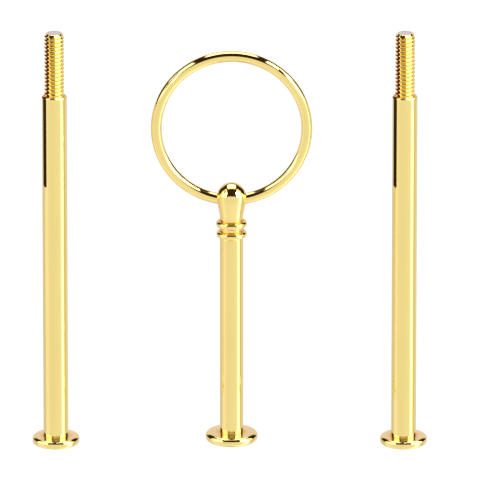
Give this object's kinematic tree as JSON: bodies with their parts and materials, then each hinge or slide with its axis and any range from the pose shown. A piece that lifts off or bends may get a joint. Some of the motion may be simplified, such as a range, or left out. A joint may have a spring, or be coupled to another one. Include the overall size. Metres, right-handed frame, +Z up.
{
  "type": "tiered cake stand post set",
  "caption": "Gold-plated posts of a tiered cake stand: threaded spacer posts with round feet, and a top post with a knob and a ring handle.",
  "frame": {"origin": "on the floor, at the bottom centre of the box that holds all the posts", "axes": "+Z up along the posts; +X to the right along the row of posts; +Y from front to back, through the ring handle"},
  "size_m": [0.1272, 0.0188, 0.1384],
  "materials": {
    "polished_gold": "mirror polished, pale yellow gold plating",
    "turned_gold": "gold plating over fine turning marks, with a polished rim",
    "thread_gold": "gold plated rolled thread",
    "bare_steel": "bare machined steel, hidden inside"
  },
  "bodies": {
    "handle_post": {"handle_foot": "turned_gold", "handle_tube": "polished_gold", "joining_stud": "bare_steel", "lower_collar": "polished_gold", "neck_sleeve": "polished_gold", "upper_collar": "polished_gold", "knob": "polished_gold", "ring_handle": "polished_gold"},
    "left_post": {"left_foot": "turned_gold", "left_tube": "polished_gold", "left_stud": "thread_gold"},
    "right_post": {"right_foot": "turned_gold", "right_tube": "polished_gold", "right_stud": "thread_gold"}
  },
  "joints": [
    {"name": "left_post_lift", "type": "slide", "parent": "handle_post", "child": "left_post", "axis": [0, 0, 1], "range_m": [0, 0.15]},
    {"name": "right_post_lift", "type": "slide", "parent": "handle_post", "child": "right_post", "axis": [0, 0, 1], "range_m": [0, 0.15]}
  ]
}
